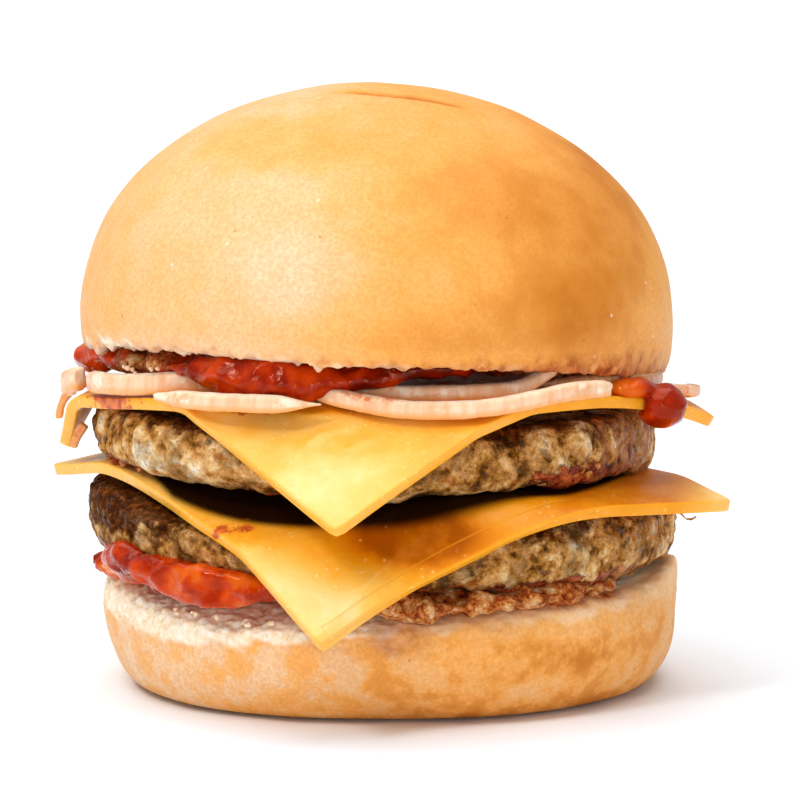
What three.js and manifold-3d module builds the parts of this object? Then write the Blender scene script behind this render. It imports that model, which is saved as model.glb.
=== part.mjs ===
// A double cheeseburger, built the way the real one is stacked. Each layer is a separate solid:
// heel (lower bun), ketchup, beef patty, cheese slice, beef patty, cheese slice, sliced onion,
// ketchup and crown (upper bun). Nothing moves.
//
// Millimetres, +Z up. The front is -Y, where a corner of each cheese slice hangs down, and +X is to
// the right of it. The heel's flat base is at z = 0. The stack is laid out round the heel, and the
// finished group is then moved so that the origin is under the middle of the whole outline.
import * as THREE from "three";
import { mergeVertices } from "three/addons/utils/BufferGeometryUtils.js";
import Module from "manifold-3d";

const wasm = await Module();
wasm.setup();

// ---- driving dimensions ----

const DEG = Math.PI / 180;
const GAP = 0.3; // clear space between layers that touch
const PRESSED = 0.5; // the same where a patty and a slice are pressed into one shape
const SECTORS = 44; // around each round layer

// The foot is rounder at the sides than at the front, where it is `tucked` in.
const HEEL = { x: -0.6, radius: 52.7, footRadius: 44.8, tucked: 3.8, height: 21.4, lip: 4.4, wornBy: 3.2 };
// A patty's faces both tilt a little: `bottomSlope` and `topSlope` are their rise per mm towards +X.
// `edge` is how round its lower edge is, and `brow` its upper one.
const PATTY_LOWER = {
  x: -2, radius: 53.9, edge: 5.2, brow: 3.2, seed: 3,
  bottom: 23.6, bottomSlope: -0.02, hollow: 0,
  top: 37.2, topSlope: -0.034, dome: 1.0,
};
const PATTY_UPPER = {
  x: -3.5, radius: 51.7, edge: 4.9, brow: 3.6, seed: 11,
  bottom: 40.6, bottomSlope: -0.034, hollow: 1.5,
  top: 53.0, topSlope: -0.002, dome: 1.5,
};
const SLICE = { side: 88, thickness: 2.1, cells: 16 };
const ONION = { width: 3.2, thin: 2.2, flatTo: 3.8, rampTo: 9 };
const CROWN = { x: -3.2, radius: 54, top: 108.5, widest: 67.3, under: 63.8, rim: 59.4 };
const KETCHUP = { lowerReach: 43, upperReach: 37, sheet: 0.8 };

// ---- shared tools ----

const clamp01 = (v) => Math.min(1, Math.max(0, v));
const smooth = (from, to, v) => {
  const t = clamp01((v - from) / (to - from));
  return t * t * (3 - 2 * t);
};
const mix = (a, b, t) => a + (b - a) * t;
// 1 at the middle angle, falling smoothly to 0 at `halfWidth` either side; all in degrees.
const around = (angle, middle, halfWidth) => {
  const away = Math.abs(((angle - middle + 540) % 360) - 180);
  return 1 - smooth(0, halfWidth, away);
};
const angleOf = (x, y) => Math.atan2(y, x) / DEG;

// Smooth seeded noise, -1 to 1, with features about as large as 1 unit.
function noise(x, y, z, seed) {
  const corner = (i, j, k) => {
    const s = Math.sin(i * 127.1 + j * 311.7 + k * 74.7 + seed * 53.3) * 43758.5453;
    return 2 * (s - Math.floor(s)) - 1;
  };
  const [i, j, k] = [Math.floor(x), Math.floor(y), Math.floor(z)];
  const [u, v, w] = [smooth(0, 1, x - i), smooth(0, 1, y - j), smooth(0, 1, z - k)];
  const row = (b, c) => mix(corner(i, b, c), corner(i + 1, b, c), u);
  const sheet = (c) => mix(row(j, c), row(j + 1, c), v);
  return mix(sheet(k), sheet(k + 1), w);
}

// Only positions are kept, shared vertices are merged, and faces that collapsed at a pole are dropped.
function weld(geometry) {
  const bare = geometry.clone();
  bare.deleteAttribute("normal");
  bare.deleteAttribute("uv");
  const merged = mergeVertices(bare, 1e-3);
  const kept = [];
  const index = merged.index.array;
  for (let i = 0; i < index.length; i += 3) {
    const [a, b, c] = index.slice(i, i + 3);
    if (a !== b && b !== c && c !== a) kept.push(a, b, c);
  }
  merged.setIndex(kept);
  return merged;
}

function reshape(geometry, move) {
  const points = geometry.getAttribute("position");
  const p = new THREE.Vector3();
  for (let i = 0; i < points.count; i += 1) {
    move(p.fromBufferAttribute(points, i));
    points.setXYZ(i, p.x, p.y, p.z);
  }
  return geometry;
}

// A closed round body from a profile of [radius, height] pairs that runs from the lower pole to the upper one.
function turned(profile, sectors = SECTORS) {
  const points = profile.map(([r, z]) => new THREE.Vector2(r, z));
  return weld(new THREE.LatheGeometry(points, sectors).rotateX(Math.PI / 2));
}

// Points of a quarter-round or other arc in a profile, ends included.
function arc(centreR, centreZ, radius, from, to, steps) {
  const at = (i) => (from + ((to - from) * i) / steps) * DEG;
  return Array.from({ length: steps + 1 }, (_, i) => [
    centreR + radius * Math.cos(at(i)),
    centreZ + radius * Math.sin(at(i)),
  ]);
}

// Evenly spaced radii on a nearly flat face, at a height given for each radius.
const face = (radii, heightAt) => radii.map((r) => [r, heightAt(r)]);

const toSolid = (geometry) => {
  const g = weld(geometry);
  const triVerts = new Uint32Array(g.index.array);
  const vertProperties = g.attributes.position.array;
  return new wasm.Manifold(new wasm.Mesh({ numProp: 3, vertProperties, triVerts }));
};

const toGeometry = (solid) => {
  const mesh = solid.getMesh();
  return new THREE.BufferGeometry()
    .setAttribute("position", new THREE.BufferAttribute(mesh.vertProperties, 3))
    .setIndex(new THREE.BufferAttribute(mesh.triVerts, 1));
};

// The largest of a solid's separate bodies: a boolean can leave scraps.
const largest = (solid) => solid.decompose().sort((a, b) => b.volume() - a.volume())[0];

// ---- heel: the lower bun, flat below, with a lip that curls up round the patty at the right ----

function heelGeometry(grow = 0) {
  const { x, radius, footRadius, tucked, height, lip, wornBy } = HEEL;
  const profile = [
    ...face([0, 24, footRadius], () => 0),
    [footRadius + 2.9, 1],
    [footRadius + 5, 3.3],
    [radius - 1.1, 6.6],
    [radius - 0.2, 10.6],
    [radius, 15.4],
    [radius - 0.6, height - 1.6],
    [radius - 2.8, height],
    ...face([40, 20, 0], () => height),
  ];
  return reshape(turned(profile), (p) => {
    const r = Math.hypot(p.x, p.y);
    const angle = angleOf(p.x, p.y);
    const side = smooth(footRadius - 6, radius, r);
    const topSide = p.z > height - 1 ? 1 : 0;
    // Shallow puckers rise from the foot, and the whole outline is a little uneven.
    const places = [[192, 7], [233, 6], [260, 5], [318, 6]];
    const puckers = places.reduce((sum, [middle, halfWidth]) => sum + around(angle, middle, halfWidth), 0);
    const wander = 0.5 * noise(p.x / 22, p.y / 22, p.z / 14, 5);
    const pucker = 0.7 * puckers * (1 - smooth(2, 11, p.z));
    const tuck = tucked * around(angle, 272, 56) * smooth(20, footRadius, r) * (1 - smooth(0, 12, p.z));
    const out = r === 0 ? 1 : 1 + (side * (wander - pucker) - tuck + grow) / r;
    // The cut edge is worn down at the front left, and a lip of crust stands up at the right.
    const upperRim = smooth(40, radius - 2.5, r) * smooth(14, height - 1, p.z);
    const atLip = around(angle, -6, 30) * smooth(radius - 2.6, radius - 1.5, r) * smooth(15, height - 1, p.z);
    p.z += lip * atLip - wornBy * upperRim * around(angle, 248, 75) + topSide * grow;
    p.x = p.x * out + x + 1.2 * atLip;
    p.y *= out;
  });
}

// ---- patties: thick discs with a rounded, craggy rim, shaped by the slices they touch ----

function pattyGeometry(patty, sliceAbove, sliceBelow, grow = 0) {
  const { x, radius, edge, brow, seed, bottom, bottomSlope, hollow, top, topSlope, dome } = patty;
  const [foot, flat] = [radius - edge, radius - brow];
  const thickness = top - bottom;
  const lower = (r) => -hollow * (r / foot) ** 2;
  const upper = (r) => thickness - dome * (r / flat) ** 2;
  const radii = [0, 14, 25, 33, 41];
  const profile = [
    ...face(radii, lower),
    ...arc(foot, lower(foot) + edge, edge, -90, 0, 3),
    ...arc(flat, upper(flat) - brow, brow, 0, 90, 3),
    ...face([...radii].reverse(), upper),
  ];
  return reshape(turned(profile), (p) => {
    const r = Math.hypot(p.x, p.y);
    const onRim = smooth(foot - 1, radius - 1.5, r);
    const share = p.z / thickness;
    // Crags are cut into the rim; the faces between two layers stay smooth.
    const crags = noise(p.x / 7, p.y / 7, p.z / 5, seed) + 0.6 * noise(p.x / 3.6, p.y / 3.6, p.z / 3, seed + 1);
    const wander = noise(p.x / 26, p.y / 26, 0.5, seed + 2);
    const out = r === 0 ? 1 : 1 + (onRim * (0.75 * crags + 1.1 * wander - 0.4) + grow) / r;
    p.z += mix(bottom + bottomSlope * p.x, top - thickness + topSlope * p.x, share);
    p.x = p.x * out + x;
    p.y *= out;
    if (share > 0.5) {
      p.z = Math.min(p.z, Math.min(...nearby(sliceAbove, p.x, p.y, -1)) - PRESSED) + grow;
    } else {
      p.z = (sliceBelow ? Math.max(p.z, Math.max(...nearby(sliceBelow, p.x, p.y, 1)) + PRESSED) : p.z) - grow;
    }
  });
}

// A slice's face at a place and just round it, so that what is pressed against it also clears its bends.
const AROUND = [[0, 0], [1.6, 0], [-1.6, 0], [0, 1.6], [0, -1.6]];
const nearby = (slice, x, y, side) => AROUND.map(([dx, dy]) => faceHeight(slice, x + dx, y + dy, side));

// ---- cheese: a square slice that lies on a patty and bends down where it overhangs ----

// height: of the slice's middle surface at x = y = 0, which rises by slopeX and slopeY per mm.
// Each fold is a straight line across the slice, `start` from its centre in the direction `toward`
// (degrees). Beyond it the slice follows an arc of radius `bend` until it has turned by `turn`
// degrees, and then runs straight. Bending round straight lines keeps the slice's true size.
const CHEESE_LOWER = {
  x: -1.2, y: -14.5, twist: -10.9, height: 39.4, slopeX: -0.026, slopeY: -0.008,
  folds: [
    { toward: 282, start: 33, bend: 9, turn: 26 },
    { toward: 252, start: 18.4, bend: 27.4, turn: 23.2 },
    { toward: 170, start: 47, bend: 20, turn: 12 },
    { toward: -49, start: 32, bend: 26.4, turn: 11.6 },
  ],
};
const CHEESE_UPPER = {
  x: -3.8, y: -11.7, twist: -5.7, height: 54.6, slopeX: 0, slopeY: -0.006,
  folds: [
    { toward: 256, start: 34.6, bend: 8.6, turn: 19.3 },
    { toward: 265.6, start: 30.1, bend: 6.8, turn: 21.3 },
    { toward: 172.8, start: 50, bend: 3.4, turn: 62 },
    { toward: 180, start: 30, bend: 25, turn: 6 },
    { toward: -7, start: 39.5, bend: 42, turn: 30 },
  ],
};

// Moves a point of the flat slice, whose z is its height above the middle surface, round one fold.
function bendRound(p, { toward, start, bend, turn }) {
  const [dx, dy] = [Math.cos(toward * DEG), Math.sin(toward * DEG)];
  const past = p.x * dx + p.y * dy - start;
  if (past <= 0) return;
  const turned = Math.min(past / bend, turn * DEG);
  const straight = past - bend * turned;
  const along = (bend + p.z) * Math.sin(turned) + straight * Math.cos(turned) - past;
  p.z = (bend + p.z) * Math.cos(turned) - bend - straight * Math.sin(turned);
  p.x += dx * along;
  p.y += dy * along;
}

function drape(cheese, p) {
  for (const fold of cheese.folds) bendRound(p, fold);
  p.x += cheese.x;
  p.y += cheese.y;
  p.z += cheese.height + cheese.slopeX * p.x + cheese.slopeY * p.y;
  return p;
}

// The height of a slice's top face (side 1) or lower face (side -1) above a place on the stack. The
// place on the flat slice that lands there is found by steps.
function faceHeight(cheese, x, y, side) {
  const flat = new THREE.Vector2(x - cheese.x, y - cheese.y);
  const landed = new THREE.Vector3();
  for (let step = 0; step < 6; step += 1) {
    drape(cheese, landed.set(flat.x, flat.y, (side * SLICE.thickness) / 2));
    flat.x += x - landed.x;
    flat.y += y - landed.y;
  }
  return landed.z;
}

function cheeseGeometry(cheese, grow = 0) {
  const { side, thickness, cells } = SLICE;
  const wide = side + 2 * grow;
  const slab = new THREE.BoxGeometry(wide, wide, thickness + 2 * grow, cells, cells, 1);
  slab.rotateZ((45 + cheese.twist) * DEG);
  return reshape(weld(slab), (p) => drape(cheese, p));
}

// ---- onion: parts of rings, piled on the upper slice and crossing over one another ----

class RingArc extends THREE.Curve {
  constructor(radius, from, to) {
    super();
    Object.assign(this, { radius, from: from * DEG, to: to * DEG });
  }

  getPoint(t, target = new THREE.Vector3()) {
    const a = mix(this.from, this.to, t);
    return target.set(this.radius * Math.cos(a), this.radius * Math.sin(a), 0);
  }
}

// x, y: centre of the ring. from, to: its ends, in degrees. tall: how thick the slice was cut.
// Each one lies on the cheese and on those before it in the list that it crosses. One spans the
// slice's edge at the height `level`. Two hang down with the slice's drooping corner, one outside it
// and one inside: they stand upright, with their centres at the height `upright`.
const ONIONS = [
  { name: "onion_front_left", x: -16.2, y: -20, radius: 31, from: 218, to: 278, tall: 3.2, level: 54.6 },
  { name: "onion_front", x: 10, y: -16.4, radius: 36, from: 222, to: 318, tall: 3.2 },
  { name: "onion_right", x: 22, y: -9, radius: 25, from: 276, to: 385, tall: 2.8 },
  { name: "onion_left_end", x: -53.8, y: -4, radius: 6.7, from: 98, to: 184, tall: 3.2, upright: 48.4 },
  { name: "onion_left_top", x: -46, y: -6, radius: 12.5, from: 184, to: 220, tall: 4.6 },
  { name: "onion_left_under", x: -49.1, y: -11.4, radius: 8.2, from: 138, to: 172, tall: 3.2, upright: 42.4 },
  { name: "onion_left", x: -32.4, y: -14, radius: 21, from: 191, to: 296, tall: 4 },
  { name: "onion_front_right", x: 7, y: -17, radius: 29, from: 236, to: 316, tall: 2.8 },
  { name: "onion_right_end", x: 43.6, y: -12.6, radius: 10, from: 296, to: 356, tall: 2.6 },
  { name: "onion_back_left", x: -20, y: 18, radius: 25, from: 78, to: 178, tall: 3.2 },
  { name: "onion_back_right", x: 16, y: 18, radius: 26, from: 10, to: 120, tall: 3.2 },
  { name: "onion_back", x: -2, y: 17, radius: 29, from: 46, to: 146, tall: 3.0 },
];

const onRing = ({ x, y, radius }, angle) => {
  return [x + radius * Math.cos(angle * DEG), y + radius * Math.sin(angle * DEG)];
};

// How near a place is to a ring's line.
function awayFrom(ring, px, py) {
  const { x, y, radius, from, to } = ring;
  const angle = (angleOf(px - x, py - y) + 720 - from) % 360;
  if (angle <= to - from) return Math.abs(Math.hypot(px - x, py - y) - radius);
  return Math.min(...[from, to].map((end) => {
    const [ex, ey] = onRing(ring, end);
    return Math.hypot(px - ex, py - ey);
  }));
}

function crosses(ring, other) {
  for (let angle = ring.from; angle <= ring.to; angle += 2) {
    if (awayFrom(other, ...onRing(ring, angle)) < ONION.flatTo) return true;
  }
  return false;
}

const BELOW = ONIONS.map((ring, i) => {
  const earlier = ONIONS.map((_, j) => j).filter((j) => j < i && !ONIONS[j].upright);
  return earlier.filter((j) => crosses(ring, ONIONS[j]));
});

// The cheese's height under the full width of a ring.
function onCheese(ring, px, py) {
  const half = ONION.width / 2 / ring.radius;
  const under = [1 - half, 1, 1 + half].map((share) => {
    return faceHeight(CHEESE_UPPER, ring.x + (px - ring.x) * share, ring.y + (py - ring.y) * share, 1);
  });
  return Math.max(...under) + GAP;
}

// The height that the ring numbered `index` rests on at a place: the cheese, or an earlier ring,
// with a ramp up to it.
function restHeight(index, x, y) {
  const { flatTo, rampTo } = ONION;
  const bare = ONIONS[index].level ?? onCheese(ONIONS[index], x, y);
  const heights = BELOW[index].map((i) => {
    const share = 1 - smooth(flatTo, rampTo, awayFrom(ONIONS[i], x, y));
    return share === 0 ? bare : mix(bare, restHeight(i, x, y) + ONIONS[i].tall + GAP, share);
  });
  return Math.max(bare, ...heights);
}

function onionGeometry(index, grow = 0) {
  const { x, y, radius, from, to, tall, upright } = ONIONS[index];
  const [h, w] = [tall / 2 + grow, (upright ? ONION.thin : ONION.width) / 2 + grow];
  // The section is a rounded box; its first axis becomes the height.
  const section = new THREE.Shape();
  const cut = 0.3;
  const corners = [[-h, -w * cut], [-h * cut, -w], [h * cut, -w], [h, -w * cut], [h, w * cut], [h * cut, w],
    [-h * cut, w], [-h, w * cut]];
  section.setFromPoints(corners.map(([a, b]) => new THREE.Vector2(a, b)));
  const past = grow / radius / DEG;
  const strip = new THREE.ExtrudeGeometry(section, {
    steps: Math.ceil(((to - from) * DEG * radius) / 3.9),
    bevelEnabled: false,
    extrudePath: new RingArc(radius, from - past, to + past),
  });
  if (upright) return weld(strip).rotateX(Math.PI / 2).translate(x, y, upright);
  return reshape(weld(strip), (p) => {
    const onLine = radius / Math.hypot(p.x, p.y);
    p.z += restHeight(index, x + p.x * onLine, y + p.y * onLine) + tall / 2;
    p.x += x;
    p.y += y;
  });
}

// ---- crown: the domed upper bun, with an arched lower edge ----

const rimHeight = (angle) => {
  const [c, s] = [Math.cos(angle * DEG), Math.sin(angle * DEG)];
  return CROWN.rim - 2.1 * c + 3.6 * smooth(0, 0.75, -s) + 3 * smooth(0, 0.8, s);
};

function crownGeometry(grow = 0) {
  const { x, radius, top, widest, under, rim } = CROWN;
  const rise = top - widest;
  const domeSteps = 11;
  // Half an ellipse from the widest point to the top; the last step ends on the axis.
  const dome = Array.from({ length: domeSteps }, (_, i) => {
    const a = ((i + 1) / domeSteps) * 90 * DEG;
    return [i === domeSteps - 1 ? 0 : radius * Math.cos(a), widest + rise * Math.sin(a)];
  });
  const profile = [
    ...face([0, 24, 38], () => under),
    [44, under - 1.2],
    [48.5, mix(under, rim, 0.75)],
    [radius - 2.2, rim],
    [radius - 0.7, rim + 1.3],
    [radius - 0.2, rim + 5],
    [radius, widest],
    ...dome,
  ];
  return reshape(turned(profile), (p) => {
    const r = Math.hypot(p.x, p.y);
    const angle = angleOf(p.x, p.y);
    const nearRim = smooth(40, radius - 3, r) * (1 - smooth(rim + 1, widest + 6, p.z));
    const wander = 0.55 * noise(p.x / 30, p.y / 30, p.z / 26, 8);
    const ragged = 0.5 * noise(p.x / 5, p.y / 5, 0.3, 9) * nearRim;
    const inward = p.z < under + 0.1 && r < radius - 1 ? 0 : 1;
    const out = r === 0 ? 1 : 1 + (inward * (wander + ragged) * smooth(20, radius, r) + inward * grow) / r;
    // The top of the dome sits a little to the left of its middle.
    const skew = -0.8 * smooth(widest, top, p.z);
    p.x = p.x * out + x + skew;
    p.y *= out;
    p.z += nearRim * (rimHeight(angle) - rim) + (inward ? 0 : -grow) + ragged;
  });
}

// ---- ketchup: a spread that runs through the burger, with a bead squeezed out along the edge ----

// An egg-shaped lobe; size holds its three half-lengths.
const lobe = (x, y, z, size) => toSolid(new THREE.SphereGeometry(1, 10, 7).scale(...size).translate(x, y, z));

// A flat, uneven spread from a level bottom to a top that rises by `slope` per mm.
function spread(x, reach, bottom, top, slope, seed) {
  const profile = [[0, bottom], [reach - 1, bottom], [reach - 1, top], [0, top]];
  return reshape(turned(profile, 24), (p) => {
    const out = 1 + 0.05 * noise(p.x / 14, p.y / 14, 0.5, seed);
    p.z += p.z > mix(bottom, top, 0.5) ? slope * p.x * out : 0;
    p.x = p.x * out + x;
    p.y *= out;
  });
}

// A bead round part of a layer whose centre is at `x`. Each row holds an angle, then the bead's
// radius, height, half thickness and half height there. It is split every `stride` degrees.
function bead(x, rows, stride = 7) {
  const [first, last] = [rows[0][0], rows[rows.length - 1][0]];
  const steps = Math.ceil((last - first) / stride);
  const half = steps + 1;
  const at = (angle) => {
    const next = Math.max(1, rows.findIndex((row) => row[0] >= angle));
    const [a, b] = [rows[next - 1], rows[next]];
    return a.map((value, i) => mix(value, b[i], smooth(a[0], b[0], angle)));
  };
  const body = new THREE.CapsuleGeometry(1, 2 * steps, 1, 6, steps);
  return toSolid(reshape(weld(body), (p) => {
    const angle = mix(first, last, clamp01((p.y + half) / (2 * half)));
    const [, radius, z, thick, tall] = at(angle);
    const r = radius + p.x * thick;
    p.set(x + r * Math.cos(angle * DEG), r * Math.sin(angle * DEG), z + p.z * tall);
  }));
}

const without = (solid, others) => largest(others.reduce((left, one) => left.subtract(toSolid(one)), solid));

// The lower spread is thick at the left, where it has run out over the heel's worn edge.
function ketchupLowerGeometry() {
  const { x, bottom, bottomSlope } = PATTY_LOWER;
  const sheet = toSolid(spread(x, KETCHUP.lowerReach, HEEL.height + GAP, bottom - GAP, bottomSlope, 21));
  const squeezedOut = bead(x, [
    [201, 51, 24.4, 1.4, 1.8], [207, 52.8, 25.4, 1.8, 2.8], [213, 53.8, 26.8, 2, 2.7], [220, 54, 26.2, 2.3, 2.7],
    [233, 53.8, 24.4, 2.7, 3.2], [241, 53.4, 22.8, 3.2, 4], [248, 52.2, 23.6, 2.6, 2], [258, 50, 23, 2, 1.4],
  ]);
  const underRim = bead(x, [[184, 45, 22.6, 7, 1.6], [225, 47.5, 22.8, 7.5, 2.6], [262, 46, 22.6, 6, 1.6]]);
  const atFront = bead(x, [
    [262, 46, 22.4, 5.5, 1.2], [270, 48.4, 21.8, 5.8, 1.9], [277, 49.2, 21.2, 5.6, 2.3], [284, 48, 22, 5.6, 1.4],
    [291, 50, 21.6, 5, 2.5], [297, 48.6, 22.2, 5.4, 1.5], [312, 48.4, 22.4, 4.6, 1.1], [324, 47.6, 22.6, 4, 1],
  ]);
  const atBack = bead(x, [
    [60, 45, 22.4, 5.5, 1], [84, 47, 22.3, 6.5, 1.8], [120, 46.5, 22.6, 6.5, 1.9], [140, 45, 22.6, 5.5, 1],
  ]);
  const all = [squeezedOut, underRim, atFront, atBack].reduce((sum, one) => sum.add(one), sheet);
  return toGeometry(without(all, [pattyGeometry(PATTY_LOWER, CHEESE_LOWER, null, GAP), heelGeometry(GAP)]));
}

// The upper spread lies under the crown.
function ketchupUpperGeometry() {
  const { x, under } = CROWN;
  const top = under - GAP;
  const sheet = toSolid(spread(x, KETCHUP.upperReach, top - KETCHUP.sheet, top, 0, 31));
  const squeezedOut = bead(x, [
    [170, 47, 59.4, 3, 1.6], [184, 50.6, 59.2, 4, 2.4], [198, 49, 60.2, 2.8, 1.6], [230, 48, 60.8, 2, 1.6],
    [241, 49.5, 60, 3.2, 3.2], [249, 49.8, 60, 3.4, 3.9], [257, 49.3, 59.4, 2.8, 2.6], [264, 48.5, 59.2, 2.4, 1.8],
    [272, 48, 60.8, 2.4, 1.8], [286, 47.5, 61.6, 2, 1.1], [304, 47, 61.2, 2, 1.2], [326, 46.8, 58.8, 2.8, 1.8],
    [342, 46.5, 58.2, 2, 1.4],
  ]);
  const underRim = bead(x, [[172, 40, 62, 7, 1.2], [250, 41, 62, 8, 1.6], [344, 40, 61.8, 7, 1.4]], 12);
  const atBack = bead(x, [
    [24, 42, 62, 8, 1.4], [48, 43, 61.4, 9, 2.4], [100, 42.5, 62, 8, 1.8], [156, 43, 61.4, 9, 2],
  ], 12);
  const all = [squeezedOut, underRim, atBack].reduce((sum, one) => sum.add(one), sheet);
  return toGeometry(without(all, [...ONIONS.map((_, i) => onionGeometry(i, GAP)), crownGeometry(GAP)]));
}

// A drop that lies on the upper slice beside the onion and has run over its edge at the right.
function ketchupDropGeometry() {
  const all = lobe(41, -28.6, 56.3, [5, 4.6, 1.7]).add(lobe(46.9, -27.4, 53.2, [4.3, 4.5, 3.9]));
  const touching = [...ONIONS.map((_, i) => onionGeometry(i, GAP)), cheeseGeometry(CHEESE_UPPER, GAP),
    pattyGeometry(PATTY_UPPER, CHEESE_UPPER, CHEESE_LOWER, GAP)];
  return toGeometry(without(all, touching));
}

// ---- assembly ----

const finish = (color, roughness) => new THREE.MeshStandardMaterial({ color, roughness, metalness: 0 });
const crust = finish(0xe2a058, 0.62);
const beef = finish(0x8a6038, 0.6);
const cheddar = finish(0xfdb62f, 0.38);
const onionFlesh = finish(0xf3d9b8, 0.35);
const ketchup = finish(0xb01c06, 0.15);

const burger = new THREE.Group();
const add = (name, geometry, material) => {
  const mesh = new THREE.Mesh(geometry, material);
  mesh.name = name;
  burger.add(mesh);
};

add("bun_heel", heelGeometry(), crust);
add("ketchup_lower", ketchupLowerGeometry(), ketchup);
add("patty_lower", pattyGeometry(PATTY_LOWER, CHEESE_LOWER, null), beef);
add("cheese_lower", cheeseGeometry(CHEESE_LOWER), cheddar);
add("patty_upper", pattyGeometry(PATTY_UPPER, CHEESE_UPPER, CHEESE_LOWER), beef);
add("cheese_upper", cheeseGeometry(CHEESE_UPPER), cheddar);
ONIONS.forEach(({ name }, i) => add(name, onionGeometry(i), onionFlesh));
add("ketchup_upper", ketchupUpperGeometry(), ketchup);
add("ketchup_drop", ketchupDropGeometry(), ketchup);
add("bun_crown", crownGeometry(), crust);

// The slices' corners reach further forward than back, so the stack is moved to centre its outline.
const middle = new THREE.Box3().setFromObject(burger).getCenter(new THREE.Vector3());
burger.position.set(-middle.x, -middle.y, 0);

export default burger;
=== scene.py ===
"""The finished look of a double cheeseburger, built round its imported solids.

The buns, the patties, the onion and the ketchup start as finely divided copies of their solids, and the
cheese slices as flat squares that are folded over the stack. Each gets the relief of the real food:
torn crumb and pores, coarse mince, soft folds, crisp cut edges and wet lumps.
"""

import math

import bmesh
import bpy
import numpy as np
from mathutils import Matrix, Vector, noise


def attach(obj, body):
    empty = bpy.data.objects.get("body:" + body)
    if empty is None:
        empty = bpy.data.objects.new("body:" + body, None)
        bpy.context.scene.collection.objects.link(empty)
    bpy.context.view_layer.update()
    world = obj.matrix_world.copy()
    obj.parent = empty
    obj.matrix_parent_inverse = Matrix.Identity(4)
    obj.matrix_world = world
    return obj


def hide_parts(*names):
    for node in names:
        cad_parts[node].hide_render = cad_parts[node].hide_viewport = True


bl_info = {
    "name": "Double cheeseburger",
    "version": (1, 0, 0),
    "blender": (4, 5, 0),
    "location": "3D View > Sidebar > Burger",
    "description": "Bread, beef, cheese, onion and ketchup built round a packed burger",
    "category": "Object",
}

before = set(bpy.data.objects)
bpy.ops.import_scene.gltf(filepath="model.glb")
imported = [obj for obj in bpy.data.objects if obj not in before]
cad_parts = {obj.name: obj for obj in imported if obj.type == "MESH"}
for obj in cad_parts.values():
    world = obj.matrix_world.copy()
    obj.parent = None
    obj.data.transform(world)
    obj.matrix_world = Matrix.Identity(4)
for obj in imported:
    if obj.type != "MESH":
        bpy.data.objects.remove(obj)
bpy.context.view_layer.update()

MM = 0.001
# Where the heel's centre is in the frame, in mm: the frame's origin is under the middle of the outline.
# Every other place here is in mm round the heel's centre, and every bearing in degrees from +X.
HEEL = (1.1943, 6.8059, 0.0)
# The layers lie a little to the left of it. This is the x of each one's middle.
CROWN_X, UPPER_PATTY_X, LOWER_PATTY_X, KETCHUP_X, CRUMBS_X = -3.2, -3.5, -2.0, -2.5, -2.8

# The material that each slot wears.
MATERIAL_OF = {
    "bun_crust": "baked_bread_crust",
    "beef": "grilled_minced_beef",
    "cheddar": "processed_cheddar",
    "onion": "raw_white_onion",
    "ketchup": "tomato_ketchup",
}


# ---- shared tools ----


def clamp01(v):
    return np.clip(v, 0.0, 1.0)


def ramp(low, high, v):
    """0 below low, 1 above high, smooth between. It falls instead, when low is above high."""
    t = clamp01((np.asarray(v, float) - low) / (high - low))
    return t * t * (3 - 2 * t)


def around(angle, middle, half_width):
    """1 at the middle bearing, falling to 0 at half_width either side."""
    away = np.abs((np.asarray(angle) - middle + 540) % 360 - 180)
    return 1 - ramp(0, half_width, away)


def across(v, places):
    """A value that changes steadily from place to place, from pairs of a place and a value."""
    at, values = zip(*places)
    return np.interp(v, at, values)


def near(p, place, reach):
    """1 round a place, falling from a third of its reach to 0 at its reach along x, y and z."""
    away = np.linalg.norm((p - np.array(place, float)) / np.array(reach, float), axis=1)
    return 1 - ramp(0.35, 1.0, away)


def spots(p, places):
    """The sum of soft spots, each given by its strength, its place and its reach."""
    return sum(strength * near(p, place, reach) for strength, place, reach in places)


def polar(p, middle=0.0):
    """Each point's bearing, 0 to 360 degrees, and its distance from the upright line at x = middle."""
    x, y = p[:, 0] - middle, p[:, 1]
    return np.degrees(np.arctan2(y, x)) % 360, np.hypot(x, y)


def unit(angle):
    """The cosine and the sine of an angle in degrees."""
    return np.cos(np.radians(angle)), np.sin(np.radians(angle))


def bumps(p, size, seed=0.0):
    """Smooth noise, -1 to 1, with features about `size` mm across, at each point."""
    shift = Vector((seed * 17.3, seed * 7.7, seed * 3.1))
    return np.array([noise.noise(Vector(v) / size + shift) for v in p])


def in_frame(*place):
    """A place in mm round the heel's centre, as metres in the frame."""
    return [(v + middle) * MM for v, middle in zip(place, HEEL)]


def deselect_all():
    if bpy.context.object and bpy.context.object.mode != "OBJECT":
        bpy.ops.object.mode_set(mode="OBJECT")
    bpy.ops.object.select_all(action="DESELECT")


def make_active(obj):
    deselect_all()
    obj.select_set(True)
    bpy.context.view_layer.objects.active = obj


def apply_modifier(obj, kind, **settings):
    make_active(obj)
    modifier = obj.modifiers.new(kind.title(), kind)
    for key, value in settings.items():
        setattr(modifier, key, value)
    bpy.ops.object.modifier_apply(modifier=modifier.name)


def subdivide_smoothly(obj, levels):
    apply_modifier(obj, "SUBSURF", levels=levels, render_levels=levels)


def copy_of(node, name):
    """A merged copy of a solid's mesh, with its pairs of triangles joined into quads."""
    obj = bpy.data.objects.new(name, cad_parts[node].data.copy())
    bpy.context.scene.collection.objects.link(obj)
    obj.data.materials.clear()
    make_active(obj)
    bpy.ops.object.mode_set(mode="EDIT")
    bpy.ops.mesh.select_all(action="SELECT")
    bpy.ops.mesh.remove_doubles(threshold=0.002 * MM)
    bent = math.radians(50)
    bpy.ops.mesh.tris_convert_to_quads(face_threshold=bent, shape_threshold=bent)
    bpy.ops.object.mode_set(mode="OBJECT")
    return obj


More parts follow.
